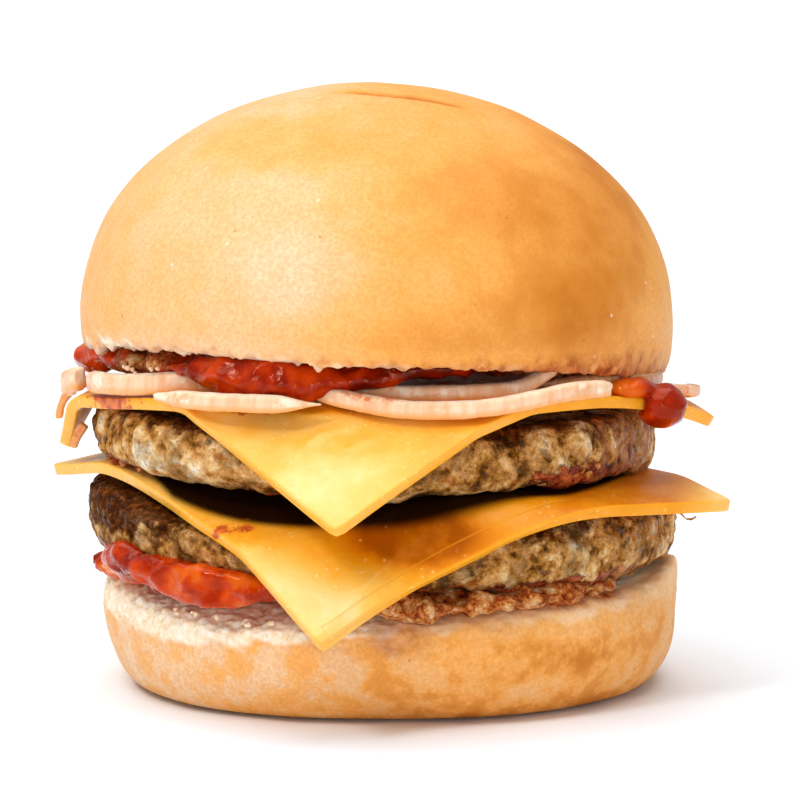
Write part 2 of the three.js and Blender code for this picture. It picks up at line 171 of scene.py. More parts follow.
def divide_where(obj, chosen, cuts):
    """Subdivides the faces whose centres are chosen."""
    make_active(obj)
    mesh = bmesh.new()
    mesh.from_mesh(obj.data)
    centres = np.array([f.calc_center_median() for f in mesh.faces]) / MM - HEEL
    for face, take in zip(mesh.faces, chosen(centres)):
        face.select_set(bool(take))
    mesh.to_mesh(obj.data)
    mesh.free()
    bpy.ops.object.mode_set(mode="EDIT")
    bpy.ops.mesh.select_mode(type="FACE")
    bpy.ops.mesh.subdivide(number_cuts=cuts, smoothness=0.0)
    bpy.ops.object.mode_set(mode="OBJECT")


def points_of(obj, middle=HEEL):
    """The vertices in mm round a middle, and their outward normals."""
    count = len(obj.data.vertices)
    p, n = np.empty(count * 3), np.empty(count * 3)
    obj.data.vertices.foreach_get("co", p)
    obj.data.vertices.foreach_get("normal", n)
    return p.reshape(-1, 3) / MM - middle, n.reshape(-1, 3)


def put_points(obj, p):
    obj.data.vertices.foreach_set("co", ((p + HEEL) * MM).astype(np.float32).ravel())
    obj.data.update()


def paint(obj, **values):
    """Gives each vertex the values that the material reads by name."""
    for name, value in values.items():
        layer = obj.data.attributes.new(name, "FLOAT", "POINT")
        layer.data.foreach_set("value", np.full(len(obj.data.vertices), value, np.float32))


def dress(obj, slot, node=None):
    """Smooth-shades a piece, gives it its slot's material, hangs it on the root and hides its solid, if any.
    """
    obj.data.polygons.foreach_set("use_smooth", [True] * len(obj.data.polygons))
    obj.data.materials.append(bpy.data.materials[MATERIAL_OF[slot]])
    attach(obj, "root")
    if node:
        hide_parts(node)


# ---- material tools ----


def hex_colour(text):
    """An sRGB hex value such as C98A4B as linear red, green, blue and alpha."""
    channels = [int(text[i:i + 2], 16) / 255 for i in (0, 2, 4)]
    return tuple(c / 12.92 if c <= 0.04045 else ((c + 0.055) / 1.055) ** 2.4 for c in channels) + (1.0,)


# What is given for each kind of node, in order, the output that is used, and its fixed settings.
NODES = {
    "TexCoord": ((), "Object", {}),
    "Attribute": (("attribute_name",), "Fac", {}),
    "Mapping": (("Vector", "Scale"), 0, {}),
    "CombineXYZ": (("X", "Y"), 0, {}),
    "TexNoise": (("Vector", "Scale", "Detail", "Roughness"), "Fac", {}),
    "TexVoronoi": (("Vector", "Scale"), "Distance", {}),
    "Math": (("operation", 0, 1), 0, {}),
    "MapRange": (
        ("Value", "From Min", "From Max", "To Min", "To Max"), 0, {"interpolation_type": "SMOOTHSTEP"}),
    # Sockets 6 and 7 and output 2 are those that it uses for colours.
    "Mix": ((0, 6, 7), 2, {"data_type": "RGBA"}),
    "ValToRGB": (("Fac", "stops"), "Color", {}),
    "Bump": (("Strength", "Distance", "Height", "Normal"), 0, {}),
}


def per_metre(size_mm):
    """The scale of a pattern whose features are so many mm across."""
    return 1 / (size_mm * MM)


class Finish:
    """A material with a Principled shader, and short ways to build what feeds it."""

    def __init__(self, name, **shader):
        material = bpy.data.materials.new(name)
        material.use_nodes = True
        self.tree = material.node_tree
        self.shader = self.tree.nodes["Principled BSDF"]
        for key, value in shader.items():
            self.shader.inputs[key.replace("_", " ")].default_value = value
        self.place = self.add("TexCoord")

    def add(self, kind, *given):
        """Adds a node, and returns the output that is used. It is given settings, plain values, hex
        colours, the stops of a colour ramp, and the outputs of other nodes."""
        names, output, settings = NODES[kind]
        node = self.tree.nodes.new("ShaderNode" + kind)
        for name, value in (*settings.items(), *zip(names, given)):
            if isinstance(value, bpy.types.NodeSocket):
                self.tree.links.new(value, node.inputs[name])
            elif isinstance(name, int) or name in node.inputs:
                node.inputs[name].default_value = hex_colour(value) if isinstance(value, str) else value
            elif name == "stops":
                while len(node.color_ramp.elements) < len(value):
                    node.color_ramp.elements.new(1.0)
                for point, (place, colour) in zip(node.color_ramp.elements, value):
                    point.position = place
                    point.color = hex_colour(colour)
            else:
                setattr(node, name, value)
        return node.outputs[output]

    def set(self, socket, value):
        self.tree.links.new(value, self.shader.inputs[socket])

    def cloud(self, size_mm, detail=3.0, roughness=0.55, stretch=(1, 1, 1)):
        """Noise from 0 to 1 with features about size_mm across."""
        where = self.add("Mapping", self.place, stretch)
        return self.add("TexNoise", where, per_metre(size_mm), detail, roughness)

    def streaks(self, size_mm):
        """Noise from 0 to 1 in lines that cross a strip, from its "run" and "rise" in mm."""
        rise = self.add("Math", "MULTIPLY", self.add("Attribute", "rise"), 0.14)
        where = self.add("CombineXYZ", self.add("Attribute", "run"), rise)
        return self.add("TexNoise", where, 1 / size_mm, 3.0, 0.6)

    def plus(self, name, value):
        """A painted value with something added to it."""
        return self.add("Math", "ADD", self.add("Attribute", name), value)

    def ragged(self, name, size_mm, by, roughness=0.7, low=0.3, high=0.7):
        """A painted value with its edge made ragged by noise, which moves it up or down by `by`."""
        noisy = self.cloud(size_mm, 4, roughness)
        return self.plus(name, self.add("MapRange", noisy, low, high, -by, by))

    def colour(self, base, *coats):
        """The colour: a base, and coats laid over it in turn, each with the share that it covers."""
        for share, coat in coats:
            base = self.add("Mix", share, base, coat)
        self.set("Base Color", base)

    def relief(self, *layers):
        """Bump from pairs of height (0 to 1) and depth in mm, each laid over the one before."""
        below = ()
        for height, depth_mm in layers:
            below = (self.add("Bump", 1.0, depth_mm * MM, height, *below),)
        self.set("Normal", *below)


# ---- finishes ----


def baked_crust():
    """Milk-bread crust, baked and glazed: golden with browner patches, a soft satin skin with fine
    pores, and pale open crumb where it is torn."""
    f = Finish(
        "baked_bread_crust", IOR=1.42, Specular_IOR_Level=0.2,
        Subsurface_Weight=0.08, Subsurface_Radius=(1.0, 0.5, 0.22), Subsurface_Scale=2 * MM)
    # The oven browns it unevenly: wide soft patches on the crown, and small blotches on the heel.
    wide = f.add("MapRange", f.cloud(26, 3, 0.5), 0.32, 0.7, -0.04, 0.04)
    blotches = f.add("MapRange", f.cloud(6.5, 5, 0.62), 0.38, 0.62, -0.22, 0.22)
    blotches = f.add("Math", "MULTIPLY", blotches, f.add("Attribute", "blotchy"))
    # The painted browning holds real browning together with painted light and painted shade.
    crust = f.add("ValToRGB", f.add("Math", "ADD", f.plus("browned", wide), blotches), [
        (0.0, "F8E0C0"), (0.2, "F0CCA4"), (0.34, "F0C08C"), (0.48, "F3B46C"),
        (0.62, "F0A650"), (0.84, "CE7C24"), (1.0, "9C5214"),
    ])
    crumb = f.add("Attribute", "crumb")
    crumb_colour = f.add("ValToRGB", f.cloud(1.5, 4, 0.7), [
        (0.3, "EBC592"), (0.45, "F9E3BF"), (0.62, "FFF4E0"),
    ])
    soaked_colour = f.add("ValToRGB", f.cloud(2.6, 4, 0.65), [
        (0.3, "6A1F04"), (0.45, "A8440F"), (0.58, "D88843"), (0.72, "ECB071"),
    ])
    f.colour(
        crust,
        # Fine mottling, as small as the pores, and a few brown and pale specks.
        (f.add("MapRange", f.cloud(0.7, 3, 0.7), 0.36, 0.62, 0.0, 0.3), "CF7D28"),
        (f.add("MapRange", f.add("TexVoronoi", f.place, per_metre(6.1)), 0.07, 0.03, 0.0, 0.45), "A8641F"),
        (f.add("MapRange", f.add("TexVoronoi", f.place, per_metre(8.7)), 0.05, 0.02, 0.0, 0.6), "FFF0D8"),
        # Torn crumb is pale and open, and brown where ketchup has soaked in.
        (crumb, crumb_colour),
        (f.add("Attribute", "soaked"), soaked_colour),
    )
    rough = f.add("Math", "ADD", f.cloud(2.2), crumb)
    f.set("Roughness", f.add("MapRange", rough, 0.3, 1.2, 0.5, 0.9))
    pores = f.add("MapRange", f.add("TexVoronoi", f.place, per_metre(0.8)), 0.05, 0.45)
    open_crumb = f.add("MapRange", crumb, 0.0, 1.0, 0.05, 1.0)
    crumbly = f.add("Math", "MULTIPLY", f.cloud(0.9, 4, 0.75), open_crumb)
    f.relief((f.cloud(1.1, 3, 0.6), 0.09), (pores, 0.04), (crumbly, 0.32))


def grilled_beef():
    """Minced beef, grilled: tan and grey-brown grains with dark pits, seared nearly black along its
    upper edge, moist with fat and juice, and stained where sauce has run."""
    f = Finish("grilled_minced_beef", IOR=1.45, Specular_Tint=hex_colour("FFE0C4"))
    grains = f.add("ValToRGB", f.plus("raised", f.cloud(2.6, 5, 0.66)), [
        (0.26, "341B03"), (0.36, "7C4A14"), (0.45, "BC803A"),
        (0.54, "DCA15C"), (0.66, "F2C88A"), (0.8, "FFEDD0"),
    ])
    fine = f.cloud(0.7, 3, 0.75)
    charred = f.plus("charred", f.cloud(5, 5, 0.7))
    seared = f.ragged("seared", 4.5, 0.4)
    crust = f.add("ValToRGB", f.cloud(1.3, 4, 0.7), [
        (0.3, "1A0700"), (0.5, "451C02"), (0.66, "824210"), (0.8, "AC6A24"),
    ])
    # Sauce lies on it in wet patches, and in a thin streaky film where it has run.
    wet = f.add("MapRange", f.ragged("sauce", 3.2, 0.35), 0.42, 0.62)
    stain = f.add("ValToRGB", f.cloud(2.2, 4), [(0.35, "3E0C02"), (0.5, "8E2A08"), (0.64, "D0662A")])
    film = f.plus("film", f.cloud(2.2, 3, 0.6, (1, 1, 0.25)))
    film = f.add("MapRange", film, 0.85, 1.1, 0.0, 0.75)
    streaky = f.add("ValToRGB", f.cloud(1.6, 4, 0.7, (1, 1, 0.3)), [(0.38, "6A2606"), (0.6, "C87A40")])
    f.colour(
        grains,
        # Patches of grey-olive and of brown, as wide as a finger's tip, and small charred ones.
        (f.add("MapRange", f.cloud(7, 3, 0.6), 0.5, 0.62, 0.0, 0.5), "77522A"),
        (f.add("MapRange", f.cloud(4, 3, 0.6, (1, 1, 1.4)), 0.58, 0.68, 0.0, 0.6), "AE5914"),
        (f.add("MapRange", charred, 0.52, 0.68, 0.0, 0.85), "241302"),
        (f.add("MapRange", fine, 0.3, 0.52, 0.5, 0.0), "3C2006"),
        (f.add("MapRange", seared, 0.3, 0.8, 0.0, 0.95), crust),
        # Painted deep shade between the layers.
        (f.add("Attribute", "hidden"), "080401"),
        (wet, stain),
        (film, streaky),
    )
    glossy = f.add("Math", "MAXIMUM", wet, film)
    moist = f.add("MapRange", f.cloud(1.5, 3, 0.6), 0.5, 0.6)
    dry = f.add("MapRange", moist, 0.0, 1.0, 0.75, 0.3)
    smoothed = f.add("MapRange", glossy, 0.0, 1.0, 1.0, 0.35)
    f.set("Roughness", f.add("Math", "MULTIPLY", dry, smoothed))
    dulled = f.add("MapRange", seared, 0.3, 0.8, 0.0, 0.7)
    shine = f.add("Math", "SUBTRACT", f.add("Math", "MAXIMUM", glossy, moist), dulled)
    f.set("Specular IOR Level", f.add("MapRange", shine, 0.0, 1.0, 0.06, 0.6))
    runs = f.add("Math", "MULTIPLY", f.cloud(2, 3, 0.6, (1, 1, 0.4)), glossy)
    f.relief((f.cloud(1.1, 4, 0.75), 0.7), (fine, 0.3), (runs, 0.8))


def processed_cheddar():
    """Processed cheddar, moulded into smooth slices: an even warm yellow with a waxy sheen, tiny bubbles,
    a scored line and smears of sauce, with painted light: a pale painted sheen, orange painted shade,
    and dark painted shade under the beef."""
    f = Finish(
        "processed_cheddar", IOR=1.45,
        Subsurface_Weight=0.15, Subsurface_Radius=(1.0, 0.5, 0.08), Subsurface_Scale=2 * MM)
    # From a pale painted sheen through plain cheese and orange painted shade to the dark painted shade under
    # a patty.
    greasy = f.ragged("greasy", 7, 0.06, 0.6, 0.35, 0.65)
    cheese = f.add("ValToRGB", greasy, [
        (0.0, "FBDA92"), (0.16, "FAC766"), (0.3, "F9B842"), (0.5, "F29E12"),
        (0.7, "DC7B02"), (0.85, "B25702"), (1.0, "7A3501"),
    ])
    some = f.add("MapRange", f.cloud(8, 2), 0.42, 0.54)
    bubbles_and_glints = f.add("MapRange", f.add("TexVoronoi", f.place, per_metre(1.6)), 0.26, 0.05)
    bubbles_and_glints = f.add("Math", "MULTIPLY", bubbles_and_glints, some)
    hidden = f.add("Attribute", "hidden")
    smear = f.add("ValToRGB", f.cloud(2.0), [(0.35, "B23A0C"), (0.65, "E87B2A")])
    # A knife has scored one slice along an edge.
    from_score = f.add("Math", "ABSOLUTE", f.add("Attribute", "from_score"))
    scored = f.add("MapRange", from_score, 0.3, 0.05)
    f.colour(
        cheese,
        (f.add("MapRange", f.add("Attribute", "rim"), 0.2, 1.0, 0.0, 0.6), "F7A922"),
        # A painted glint on each bubble.
        (f.add("Math", "MULTIPLY", bubbles_and_glints, 0.5), "FFE08A"),
        # Painted deep shade under the upper patty.
        (hidden, "200D02"),
        (f.add("MapRange", f.ragged("sauce", 3, 0.35), 0.42, 0.66), smear),
        # The scored line is painted darker orange, as painted shade in its groove.
        (f.add("Math", "MULTIPLY", scored, 0.4), "F0A020"),
    )
    f.set("Roughness", f.add("MapRange", f.cloud(6, 4, 0.6), 0.3, 0.7, 0.24, 0.38))
    # The parts painted with orange or deep shade don't shine.
    dull = f.add("Math", "ADD", greasy, hidden)
    f.set("Specular IOR Level", f.add("MapRange", dull, 0.3, 0.9, 0.5, 0.03))
    unscored = f.add("MapRange", scored, 0.0, 1.0, 1.0, 0.0)
    f.relief((f.cloud(6, 3, 0.5), 0.25), (f.cloud(0.9, 3, 0.6), 0.02), (bubbles_and_glints, 0.06), (unscored, 0.06))


def raw_onion():
    """Raw white onion, cut across the rings: moist and slightly see-through, with fine lines across
    each strip, painted highlights along its cut edges, painted orange shade underneath, and orange
    where sauce has soaked in."""
    f = Finish(
        "raw_white_onion", IOR=1.38,
        Subsurface_Weight=0.4, Subsurface_Radius=(1.0, 0.65, 0.4), Subsurface_Scale=2.5 * MM)
    lines = f.streaks(0.9)
    glassy = f.add("Mix", f.add("MapRange", lines, 0.3, 0.7), "B87236", "D99A5C")
    smear = f.add("ValToRGB", f.cloud(2.2), [(0.35, "C8481A"), (0.65, "EE9858")])
    f.colour(
        "F0D0AE",
        (f.add("MapRange", lines, 0.36, 0.64, 0.0, 0.3), "D9A278"),
        (f.add("MapRange", f.streaks(5), 0.4, 0.62, 0.0, 0.75), "E3A674"),
        (f.add("MapRange", f.cloud(4, 3, 0.6), 0.52, 0.64, 0.0, 0.7), "FBE9D2"),
        # Painted highlights along the upper and lower edges.
        (f.add("MapRange", f.add("Attribute", "edge"), 0.0, 1.0, 0.0, 0.8), "FAE6CE"),
        # Painted shade on the underside, orange as a painted reflection of the cheese.
        (f.add("MapRange", f.add("Attribute", "underside"), 0.0, 1.0, 0.0, 0.85), "EFA45C"),
        (f.add("Attribute", "glassy"), glassy),
        (f.add("MapRange", f.ragged("sauce", 2.6, 0.3), 0.4, 0.8), smear),
    )
    f.set("Roughness", f.add("MapRange", f.cloud(2, 3), 0.3, 0.7, 0.18, 0.34))
    f.relief((lines, 0.06), (f.cloud(1.6, 3, 0.6), 0.14))


def tomato_ketchup():
    """Tomato ketchup: thick, wet and glossy, deep red where it is thick and orange-red where thin."""
    f = Finish(
        "tomato_ketchup", IOR=1.4, Specular_IOR_Level=0.45, Specular_Tint=hex_colour("FFC8A8"))
    uneven = f.add("MapRange", f.cloud(5, 3, 0.5), 0.35, 0.7, -0.12, 0.26)
    # The painted value is low where the sauce is thick and where painted shade lies on it.
    sauce = f.add("ValToRGB", f.plus("thin", uneven), [
        (0.0, "5E0A00"), (0.22, "961C00"), (0.5, "C43A00"), (0.75, "E06C14"), (1.0, "EE9A50"),
    ])
    # Bread crumb that it has soaked is brown and ragged.
    soaked = f.add("MapRange", f.plus("soaked", f.cloud(3, 4, 0.7)), 0.68, 0.98)
    crumb_colour = f.add("ValToRGB", f.cloud(2.2, 5, 0.75), [
        (0.36, "5A1402"), (0.46, "B04C12"), (0.54, "DE9248"), (0.65, "F6D0A0"),
    ])
    f.colour(sauce, (soaked, crumb_colour))
    rough = f.add("Math", "ADD", f.cloud(3, 3), soaked)
    f.set("Roughness", f.add("MapRange", rough, 0.4, 1.5, 0.04, 0.5))
    crumbly = f.add("Math", "MULTIPLY", f.cloud(1.2, 5, 0.8), soaked)
    f.relief((f.cloud(2.4, 2, 0.5), 0.45), (f.cloud(0.7, 3, 0.6), 0.05), (crumbly, 0.9))


def studio_paper():
    """Matt brightened studio paper, very slightly cool: it has no grain that the eye could see."""
    f = Finish("white_studio_paper", Roughness=0.9, Specular_IOR_Level=0.0)
    f.colour("F4F9FF", (f.cloud(60, 2), "F3F8FE"))


# ---- sizes that a user would change ----


LENGTH = {"unit": "LENGTH", "subtype": "DISTANCE"}


class BunSizes(bpy.types.PropertyGroup):
    torn: bpy.props.FloatProperty(
        name="Torn edge", description="How far the torn crumb stands in and out",
        default=1.0 * MM, **LENGTH)
    uneven: bpy.props.FloatProperty(
        name="Unevenness", description="How far the crust swells and sinks over a few centimetres",
        default=0.35 * MM, **LENGTH)


class BeefSizes(bpy.types.PropertyGroup):
    grain: bpy.props.FloatProperty(
        name="Mince", description="Width of a strand of mince", default=3.6 * MM, **LENGTH)
    depth: bpy.props.FloatProperty(
        name="Creases", description="Depth of the creases between strands", default=0.55 * MM, **LENGTH)


class CheeseSizes(bpy.types.PropertyGroup):
    side: bpy.props.FloatProperty(
        name="Side", description="Side of a flat slice", default=88 * MM, **LENGTH)
    thickness: bpy.props.FloatProperty(
        name="Thickness", description="Thickness of a slice", default=2.1 * MM, **LENGTH)


class FillingSizes(bpy.types.PropertyGroup):
    taper: bpy.props.FloatProperty(
        name="Onion ends", description="Length over which a strip of onion thins to its end",
        default=8 * MM, **LENGTH)
    lumps: bpy.props.FloatProperty(
        name="Ketchup lumps", description="Height of the lumps in the ketchup", default=0.7 * MM, **LENGTH)
    crumb: bpy.props.FloatProperty(
        name="Crumbs", description="Width of a loose crumb", default=1.2 * MM, **LENGTH)


class StageSizes(bpy.types.PropertyGroup):
    floor: bpy.props.FloatProperty(
        name="Floor", description="Half the width of the floor", default=16.0, **LENGTH)
    lens: bpy.props.FloatProperty(
        name="Lens", description="Focal length on a 36 mm sensor, in mm", default=161.8)


# ---- bun ----


# How brown the crust is from left to right, as pairs of x and a share. It holds real browning and
# painted light: paler on the left, which faces the light, and browner on the shaded right.
CROWN_BAKE_AND_LIGHT = [
    (-56, 0.42), (-40, 0.37), (-16, 0.36), (1, 0.57), (18, 0.64), (33, 0.8), (42, 0.8), (53, 0.44),
]
HEEL_BAKE_AND_LIGHT = [(-52, 0.32), (-40, 0.32), (-24, 0.42), (-8, 0.5), (12, 0.6), (34, 0.54), (52, 0.54)]
# Spots that are browner, or paler where the strength is negative. The crown's pale spot low at the
# front left is a painted highlight.
CROWN_SPOTS = [
    (0.16, (-19, -30, 99), (22, 26, 7)), (0.06, (15, -40, 91), (18, 28, 13)),
    (-0.05, (25, -20, 99), (16, 24, 8)), (0.1, (30, -42, 72), (18, 24, 9)),
    (-0.1, (-16, -50, 78), (14, 22, 10)),
]
HEEL_SPOTS = [(0.14, (26, -44, 11), (22, 18, 5)), (0.1, (-40, -34, 7), (12, 14, 6))]
# Spots where ketchup has soaked into the heel's upper edge.
HEEL_SOAKED = [
    (0.55, (1, -52, 16), (8, 8, 4)), (0.9, (8, -50, 21), (12, 9, 3)), (0.8, (34, -38, 21), (20, 16, 2.4)),
]


def crown_rim(angle):
    """The height of the crown's lower edge, which arches up at the front and back."""
    c, s = unit(angle)
    return 59.4 - 2.1 * c + 3.6 * ramp(0, 0.75, -s) + 3 * ramp(0, 0.8, s)


class BURGER_OT_crown(bpy.types.Operator):
    """The domed upper bun, with its torn lower edge"""

    bl_idname = "burger.crown"
    bl_label = "Crown"

    def execute(self, context):
        sizes = context.scene.burger_bun
        torn = sizes.torn / MM
        crown = copy_of("bun_crown", "crown")
        subdivide_smoothly(crown, 3)
        divide_where(crown, lambda c: (c[:, 2] < 67) & (polar(c, CROWN_X)[1] > 46), 1)
        p, n = points_of(crown)
        x, y, z = p.T
        angle, r = polar(p, CROWN_X)
        above = z - crown_rim(angle)
        low = ramp(6, 0.5, above) * ramp(42, 50, r)
        left = around(angle, 194, 30)
        # Crumb is torn in short ragged teeth all along the lower edge, most of all at the left.
        teeth = bumps(p * (1, 1, 0.4), 2.6, 1) + 0.7 * bumps(p * (1, 1, 0.4), 1.1, 2)
        teeth = teeth * (0.45 + 0.9 * ramp(-0.3, 0.4, bumps(p, 9, 9)))
        swell = sizes.uneven / MM * (bumps(p, 24, 3) + 0.4 * bumps(p, 9, 4))
        sagging = 2.3 * around(angle, -26, 48) + 1.2 * around(angle, 184, 26)
        # A shallow crease runs over the top, and a dimple lies at the upper left.
        crease = np.exp(-((y + 14 + 0.1 * x + 1.2 * bumps(p, 9, 5)) / 1.1) ** 2) * ramp(102, 106, z)
        crease *= ramp(-12, -5, x) * ramp(15, 9, x)
        dimple = near(p, (-36, -30, 92), (7, 9, 9))
        p += n * (swell - 0.6 * crease - 0.4 * dimple + 0.4 * torn * teeth * low * (0.6 + left))[:, None]
        hanging = torn * (0.75 + 0.9 * np.maximum(0, teeth) + 0.5 * left) + sagging
        p[:, 2] -= low * ramp(3, 0, above) * hanging
        put_points(crown, p)
        under = ramp(50.5, 47, r) * ramp(66, 65, z)
        fringe = 0.3 + 0.8 * bumps(p, 3.2, 6) + 2.4 * left * (0.6 + bumps(p, 5, 8))
        crumb = ramp(fringe + 0.9, fringe - 0.6, above) * (0.4 + 0.45 * ramp(22, -10, x) + 0.3 * left)
        jagged = above + 1.6 * bumps(p * (1, 1, 0.3), 2, 7)
        soaked = ramp(1.6 + 1.7 * ramp(18, 32, x), -0.4, jagged) * (0.5 + 0.5 * ramp(-12, 24, x))
        soaked += 0.5 * ramp(2.6, 0.4, above) * around(angle, 196, 12)
        bake_and_light = across(x, CROWN_BAKE_AND_LIGHT) + spots(p, CROWN_SPOTS) - 0.08 * ramp(4, 1, above)
        bake_and_light += ramp(78, 66, z) * (0.14 * ramp(-30, -8, x) * ramp(24, 12, x) - 0.12 * ramp(32, 46, x))
        # The crease over the top is painted browner, as painted shade in it.
        paint(
            crown, browned=bake_and_light + 0.4 * crease, blotchy=0.12,
            crumb=clamp01(np.maximum(crumb, 0.8 * under)),
            soaked=clamp01(np.maximum(soaked, 0.75 * under)))
        dress(crown, "bun_crust", "bun_crown")
        return {"FINISHED"}


class BURGER_OT_heel(bpy.types.Operator):
    """The lower bun, with its worn cut edge, puckers and lip"""

    bl_idname = "burger.heel"
    bl_label = "Heel"

    def execute(self, context):
        sizes = context.scene.burger_bun
        torn = sizes.torn / MM
        heel = copy_of("bun_heel", "heel")
        subdivide_smoothly(heel, 3)
        divide_where(heel, lambda c: (c[:, 2] > 11) & (polar(c)[1] > 40), 1)
        p, n = points_of(heel)
        x, z = p[:, 0], p[:, 2]
        angle, r = polar(p)
        worn = around(angle, 222, 66)
        upper = ramp(12.5, 17.5, z + 2.6 * worn) * ramp(40, 46, r)
        teeth = bumps(p * (1, 1, 0.55), 2.4, 11) + 0.7 * bumps(p, 1.1, 12)
        swell = sizes.uneven / MM * (1.3 * bumps(p, 20, 13) + 0.7 * bumps(p, 7, 14)) * ramp(0, 3, z)
        p += n * (swell + torn * teeth * upper * (0.22 + 0.5 * worn))[:, None]
        put_points(heel, p)
        edge = z + 4.6 * worn + 1.5 * bumps(p, 5, 15) + 0.8 * bumps(p, 1.8, 18)
        crumb = ramp(17.2, 18.8, edge) * ramp(38, 44, r) * clamp01(0.3 + 1.2 * worn + 0.3 * bumps(p, 6, 16))
        bake_and_light = across(x, HEEL_BAKE_AND_LIGHT) + spots(p, HEEL_SPOTS)
        bake_and_light += 0.14 * ramp(5, 0.5, z) - 0.12 * ramp(13.5, 19, z) * ramp(-20, 6, x)
        paint(
            heel, browned=bake_and_light, blotchy=0.62 * ramp(19, 13, z),
            crumb=np.maximum(crumb, ramp(50, 47, r) * ramp(15, 17, z)),
            soaked=clamp01(spots(p, HEEL_SOAKED) * (0.8 + 0.8 * bumps(p, 3.5, 19))))
        dress(heel, "bun_crust", "bun_heel")
        return {"FINISHED"}


# ---- patties ----


# For each patty, its piece and solid, the x of its middle, its lowest and highest height, and the seed
# of its noise.
PATTIES = (
    ("beef_lower", "patty_lower", LOWER_PATTY_X, 22.6, 37.9, 21),
    ("beef_upper", "patty_upper", UPPER_PATTY_X, 39.1, 53.0, 31),
)
# Marks on the rim: the strength, the bearing and how far either side, and the shares of the patty's
# height where the mark starts and is full. A mark without the last two is as high as the patty.
RIM_MARKS = {
    "beef_lower": {
        "seared": [(0.95, 204, 46, 0.4, 0.62), (0.5, 300, 50, 0.4, 0.8)],
        "sauce": [(0.8, 205, 24, 0.5, 0.2), (0.85, 300, 44, 0.3, 0.1)],
        "film": [(0.75, 322, 14, 0.35, 0.1)],
        "pale": [],
    },
    "beef_upper": {
        "seared": [(0.4, 232, 26, 0.6, 0.85), (-0.3, 206, 20), (0.5, 296, 34, 0.35, 0.75)],
        "sauce": [(1.1, 203, 26, 0.42, 0.2), (0.7, 244, 20, 0.2, 0.06), (1.0, 317, 26, 0.5, 0.2)],
        "film": [(0.5, 324, 16), (0.56, 342, 18), (0.45, 198, 10, 0.4, 0.1)],
        "pale": [(0.14, 220, 34, 0.75, 0.5)],
    },
}
# Two pale spots on the upper patty.
PALE_SPOTS = [(0.3, (-33.3, -36, 46), (1.7, 4, 1.9)), (0.3, (-41.5, -24, 43.4), (1.3, 4, 2.3))]


def rim_marks(angle, share, marks):
    """The sum of a patty's marks of one kind."""
    total = np.zeros(len(angle))
    for strength, bearing, half_width, *heights in marks:
        total += strength * around(angle, bearing, half_width) * (ramp(*heights, share) if heights else 1)
    return total


class BURGER_OT_patties(bpy.types.Operator):
    """The two patties, with mince standing out round their rims"""

    bl_idname = "burger.patties"
    bl_label = "Patties"

    def execute(self, context):
        sizes = context.scene.burger_beef
        grain, depth = sizes.grain / MM, sizes.depth / MM
        for name, node, middle, low, high, seed in PATTIES:
            patty = copy_of(node, name)
            subdivide_smoothly(patty, 2)
            divide_where(patty, lambda c: polar(c, middle)[1] > 46, 3)
            p, n = points_of(patty)
            angle, r = polar(p, middle)
            rim = ramp(43, 49, r)
            share = (p[:, 2] - low) / (high - low)
            # Pressed strands of mince: rounded lumps that meet in creases, at three sizes.
            lumps = 0.6 * bumps(p, 11, seed + 5) + 0.12 * bumps(p, 0.95, seed + 8)
            # The strands wind, so no two lumps are alike.
            winding = p + 2.2 * np.stack([bumps(p, 7, seed + k) for k in (11, 12, 13)], axis=1)
            for size, share_of_depth in ((1.9 * grain, 1.0), (grain, 0.62), (0.5 * grain, 0.34)):
                lumps += depth * share_of_depth * (2 * np.abs(bumps(winding, size, seed + size)) - 0.55)
            flat = 1 - 0.8 * np.abs(n[:, 2]) ** 3
            p += n * (rim * flat * (0.35 + lumps))[:, None]
            # The edges are ragged, the lower one most of all.
            ragged = bumps(p * (1, 1, 0.3), 5, seed + 9) + 0.5 * bumps(p * (1, 1, 0.3), 2.3, seed + 10)
            p[:, 2] += rim * ragged * (1.3 * ramp(0.35, 0.05, share) + 0.5 * ramp(0.75, 0.95, share))
            front = around(angle, 262, 100)
            if name == "beef_upper":
                # Its lower edge turns in at the front, so that it stands clear of the slice under it.
                inward = 1 - 1.8 * (ramp(0.3, 0.0, share) * rim * front) / np.maximum(r, 1)
                p[:, 0] = middle + (p[:, 0] - middle) * inward
                p[:, 1] *= inward
            put_points(patty, p)
            marks = {kind: rim_marks(angle, share, of_kind) for kind, of_kind in RIM_MARKS[name].items()}
            seared = ramp(0.72, 0.95, share) + 0.3 * ramp(0.14, 0.0, share) + marks["seared"]
            pale = marks["pale"] + spots(p, PALE_SPOTS)
            # Raised lumps are painted paler and the creases between them darker: painted light and shade.
            paint(
                patty, raised=0.3 * clamp01(0.5 + lumps) - 0.14 + pale,
                # Its inner face at the front is painted with deep shade.
                hidden=ramp(49.5, 47.5, r) * front,
                charred=0.08 * ramp(0.35, 0.85, share) - 0.03 - 0.1 * around(angle, 218, 44),
                seared=seared * rim, sauce=marks["sauce"] * rim, film=marks["film"] * rim)
            dress(patty, "beef", node)
        return {"FINISHED"}


# ---- cheese ----


